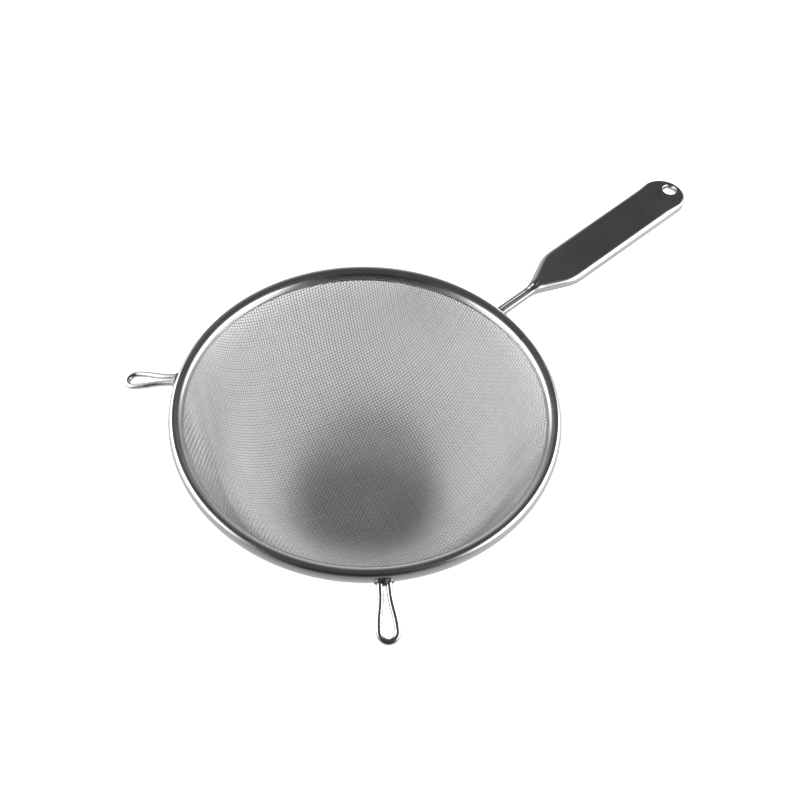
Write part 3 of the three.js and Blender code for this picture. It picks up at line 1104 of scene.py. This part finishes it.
@dataclass(frozen=True)
class Softbox:
    """A soft lamp that looks at the sieve, with its angles in degrees.

    It fades towards its edges, over the share of its width and height that fade gives.
    """

    name: str
    azimuth: float
    elevation: float
    watts: float
    width: float = 1.45
    height: float = 0.72
    distance: float = 0.72
    fade: float = 0.45

    def build(self) -> None:
        """Hangs the lamp, out of sight of the camera."""
        lamp = bpy.data.lights.new(self.name, "AREA")
        lamp.shape = "RECTANGLE"
        lamp.size, lamp.size_y = self.width, self.height
        lamp.energy = self.watts
        lamp.use_nodes = True
        tree = lamp.node_tree
        half = 0.5
        place = add_node(tree, "NewGeometry").outputs["Parametric"]
        middle = add_node(tree, "VectorMath", {"operation": "SUBTRACT"}, {1: (half, half, 0.0)},
                          {0: place})
        size = add_node(tree, "VectorMath", {"operation": "ABSOLUTE"},
                        links={0: middle.outputs[0]})
        reach = add_node(tree, "SeparateXYZ", links={0: size.outputs[0]})
        fades = [add_node(tree, "MapRange", {"interpolation_type": "SMOOTHSTEP"},
                          {"From Min": half, "From Max": half - self.fade,
                           "To Min": 0.0, "To Max": 1.0},
                          {"Value": reach.outputs[axis]}).outputs[0] for axis in "XY"]
        glow = add_node(tree, "Math", {"operation": "MULTIPLY"}, links={0: fades[0], 1: fades[1]})
        tree.links.new(glow.outputs[0], tree.nodes["Emission"].inputs["Strength"])
        box = bpy.data.objects.new(self.name, lamp)
        turn, rise = math.radians(self.azimuth), math.radians(self.elevation)
        away = Vector((math.cos(rise) * math.cos(turn), math.cos(rise) * math.sin(turn),
                       math.sin(rise)))
        box.location = away * self.distance
        box.rotation_euler = away.to_track_quat("Z", "Y").to_euler()
        box.visible_camera = False
        bpy.context.scene.collection.objects.link(box)


@dataclass(frozen=True)
class GlowRing:
    """A part of the floor's white, a painted glow: none up to one distance from a point, full from
    another on.
    """

    middle: tuple[float, float, float]
    start: float
    full: float
    level: float

    def strength(self, tree: bpy.types.NodeTree,
                 place: bpy.types.NodeSocket) -> bpy.types.NodeSocket:
        """Gives the ring's strength at a place.

        Args:
            tree: The floor's node tree.
            place: The place on the floor.

        Returns:
            The strength, from 0 to the ring's level.
        """
        away = add_node(tree, "VectorMath", {"operation": "DISTANCE"}, {1: self.middle}, {0: place})
        return add_node(tree, "MapRange", {"interpolation_type": "SMOOTHSTEP"},
                        {"From Min": self.start, "From Max": self.full,
                         "To Min": 0.0, "To Max": self.level},
                        {"Value": away.outputs["Value"]}).outputs[0]


@dataclass
class Studio:
    """The floor, the light and the camera, with angles in degrees.

    The camera looks at the middle of the rim, from a point moved across and up in its own view.
    The floor glows white to the camera in two painted rings. The faint one is held back under the
    bowl and paints a dark disc of shade seen through the cloth. The strong one is held back round
    the sieve and its shadow, where the lamps' shadow shows together with a painted soft shadow. In
    mirrored rays a part of that white shows, which ends a little way towards the camera: a painted
    darker reflection on the camera's side. The room is pale at the horizon and dark overhead, with
    heights as sines, and dim on the camera's side.
    """

    camera_azimuth: float = -135.55
    camera_elevation: float = 51.59
    camera_roll: float = 3.28
    camera_distance: float = 601 * MM
    camera_across: float = 17.32 * MM
    camera_up: float = 4.77 * MM
    camera_near: float = 10 * MM
    focal_pixels: float = 1175.0
    frame_pixels: float = 800
    sensor: float = 36.0
    floor_size: float = 8.0
    floor_colour: str = "#cccccc"
    # Painted shade: the floor's glow is held back under the bowl, so the floor seen through the
    # cloth there reads as a dark disc.
    white_under: GlowRing = GlowRing((-15 * MM, -15 * MM, 0.0), 23 * MM, 58 * MM, 0.2)
    # Painted soft shadow: the floor's white glow is held back round the sieve, off its middle, so
    # the lamps' shadow shows there together with painted shade.
    white_round: GlowRing = GlowRing((40 * MM, 39 * MM, 0.0), 88 * MM, 132 * MM, 0.8)
    # Painted reflection: mirrors see this share of the floor's white, fading to none towards the
    # camera, so reflections of the floor on the camera's side are darker.
    mirrored_white: float = 0.27
    mirrored_full: float = 90 * MM
    mirrored_end: float = 200 * MM
    room_colour: str = "#ffffff"
    room_low: float = 0.72
    room_high: float = 0.08
    room_from: float = 0.03
    room_to: float = 0.4
    dim_side: float = 0.15
    dim_from: float = 0.5
    dim_to: float = 0.9
    lamps: tuple[Softbox, ...] = (
        Softbox("softbox_left", 128.0, 22.5, 18.0),
        Softbox("softbox_right", 317.0, 27.0, 20.0),
        Softbox("reflector_behind", 52.0, 28.0, 0.42, width=0.42, height=0.6, distance=0.5),
    )

    def build(self) -> None:
        """Sets everything up."""
        self.build_camera()
        self.build_floor()
        self.build_world()
        for lamp in self.lamps:
            lamp.build()
        bpy.context.scene.view_settings.view_transform = "Standard"

    @property
    def towards_camera(self) -> tuple[float, float, float]:
        """Level direction from the sieve to the camera."""
        azimuth = math.radians(self.camera_azimuth)
        return math.cos(azimuth), math.sin(azimuth), 0.0

    def build_camera(self) -> None:
        """Places the camera at the photograph's viewing angle."""
        elevation, roll = math.radians(self.camera_elevation), math.radians(self.camera_roll)
        ahead = Vector(self.towards_camera)
        back = ahead * math.cos(elevation) + Vector((0, 0, math.sin(elevation)))
        level = Vector((-ahead.y, ahead.x, 0))
        upright = back.cross(level)
        right = level * math.cos(roll) + upright * math.sin(roll)
        up = upright * math.cos(roll) - level * math.sin(roll)
        eye = back * self.camera_distance + right * self.camera_across + up * self.camera_up
        eye.z += RIM.height
        bpy.ops.object.camera_add()
        camera = bpy.context.object
        camera.matrix_world = Matrix((right, up, back)).transposed().to_4x4()
        camera.location = eye
        camera.data.sensor_width = self.sensor
        camera.data.lens = self.focal_pixels * self.sensor / self.frame_pixels
        camera.data.clip_start = self.camera_near
        bpy.context.scene.camera = camera

    def build_floor(self) -> None:
        """Lays a pale floor, glowing white to the camera, with the sieve's shadow and painted
        shade.
        """
        bpy.ops.object.select_all(action="DESELECT")
        bpy.ops.mesh.primitive_plane_add(size=self.floor_size)
        floor = bpy.context.object
        floor.name = "floor"
        material = bpy.data.materials.new("pale_paper")
        material.use_nodes = True
        tree = material.node_tree
        tree.nodes.clear()
        path = add_node(tree, "LightPath")
        place = add_node(tree, "TexCoord").outputs["Object"]
        paper = add_node(tree, "BsdfDiffuse", values={"Color": linear(self.floor_colour)})
        # Painted darker reflection: the white that mirrors see fades out towards the camera.
        ahead = add_node(tree, "VectorMath", {"operation": "DOT_PRODUCT"},
                         {1: self.towards_camera}, {0: place})
        share = add_node(tree, "MapRange", {"interpolation_type": "SMOOTHSTEP"},
                         {"From Min": self.mirrored_full, "From Max": self.mirrored_end,
                          "To Min": self.mirrored_white, "To Max": 0.0},
                         {"Value": ahead.outputs["Value"]})
        mirrored = add_node(tree, "Math", {"operation": "MULTIPLY"},
                            links={0: path.outputs["Is Glossy Ray"], 1: share.outputs[0]})
        direct = add_node(tree, "Math", {"operation": "MAXIMUM"},
                          links={0: path.outputs["Is Camera Ray"],
                                 1: path.outputs["Is Transmission Ray"]})
        seen = add_node(tree, "Math", {"operation": "MAXIMUM"},
                        links={0: direct.outputs[0], 1: mirrored.outputs[0]})
        # The painted glow rings: held back under and round the sieve, they paint shade on the
        # floor.
        white = add_node(tree, "Math", {"operation": "ADD"},
                         links={0: self.white_under.strength(tree, place),
                                1: self.white_round.strength(tree, place)})
        lift = add_node(tree, "Math", {"operation": "MULTIPLY"},
                        links={0: seen.outputs[0], 1: white.outputs[0]})
        glow = add_node(tree, "Emission", links={"Strength": lift.outputs[0]})
        both = add_node(tree, "AddShader", links={0: paper.outputs[0], 1: glow.outputs[0]})
        add_node(tree, "OutputMaterial", links={"Surface": both.outputs[0]})
        floor.data.materials.append(material)

    def build_world(self) -> None:
        """Surrounds the sieve with a pale room that gets dark overhead and behind the camera."""
        world = bpy.data.worlds.new("studio")
        bpy.context.scene.world = world
        world.use_nodes = True
        tree = world.node_tree
        tree.nodes.clear()
        path = add_node(tree, "LightPath")
        direction = add_node(tree, "TexCoord").outputs["Generated"]
        height = add_node(tree, "SeparateXYZ", links={0: direction})
        room = add_node(tree, "MapRange", {"interpolation_type": "SMOOTHSTEP"},
                        {"From Min": self.room_from, "From Max": self.room_to,
                         "To Min": self.room_low, "To Max": self.room_high},
                        {"Value": height.outputs["Z"]})
        ahead = add_node(tree, "VectorMath", {"operation": "DOT_PRODUCT"},
                         {1: self.towards_camera}, {0: direction})
        shade = add_node(tree, "MapRange", {"interpolation_type": "SMOOTHSTEP"},
                         {"From Min": self.dim_from, "From Max": self.dim_to,
                          "To Min": 1.0, "To Max": self.dim_side},
                         {"Value": ahead.outputs["Value"]})
        level = add_node(tree, "Math", {"operation": "MULTIPLY"},
                         links={0: room.outputs[0], 1: shade.outputs[0]})
        seen = add_node(tree, "Math", {"operation": "MAXIMUM"},
                        links={0: path.outputs["Is Camera Ray"],
                               1: path.outputs["Is Transmission Ray"]})
        strength = add_node(tree, "Mix", {"data_type": "FLOAT"}, {3: 1.0},
                            {0: seen.outputs[0], 2: level.outputs[0]})
        light = add_node(tree, "Background", values={"Color": linear(self.room_colour)},
                         links={"Strength": strength.outputs[0]})
        add_node(tree, "OutputWorld", links={"Surface": light.outputs[0]})


def dress_hidden_core() -> None:
    """Gives the core wire, hidden in the rim, its material."""
    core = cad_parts["rim_core_wire"]
    core.data.materials.clear()
    core.data.materials.append(DRAWN_WIRE.build())
    LOG.info("rim_core_wire: kept as it is")


def main() -> None:
    """Builds the studio, and then the sieve piece by piece."""
    logging.basicConfig(level=logging.INFO, format="%(name)s: %(message)s")
    Studio().build()
    WireCloth().build()
    RolledRim().build()
    handle = PressedHandle()
    handle.build()
    wire, weld = DRAWN_WIRE.build(), WELD_METAL.build()
    PotRest("pot_rest_loop_right", "pot_rest_right", REST_ANGLE).build(wire, weld)
    PotRest("pot_rest_loop_left", "pot_rest_left", -REST_ANGLE).build(wire, weld)
    handle.build_weld(weld)
    dress_hidden_core()


if __name__ == "__main__":
    main()
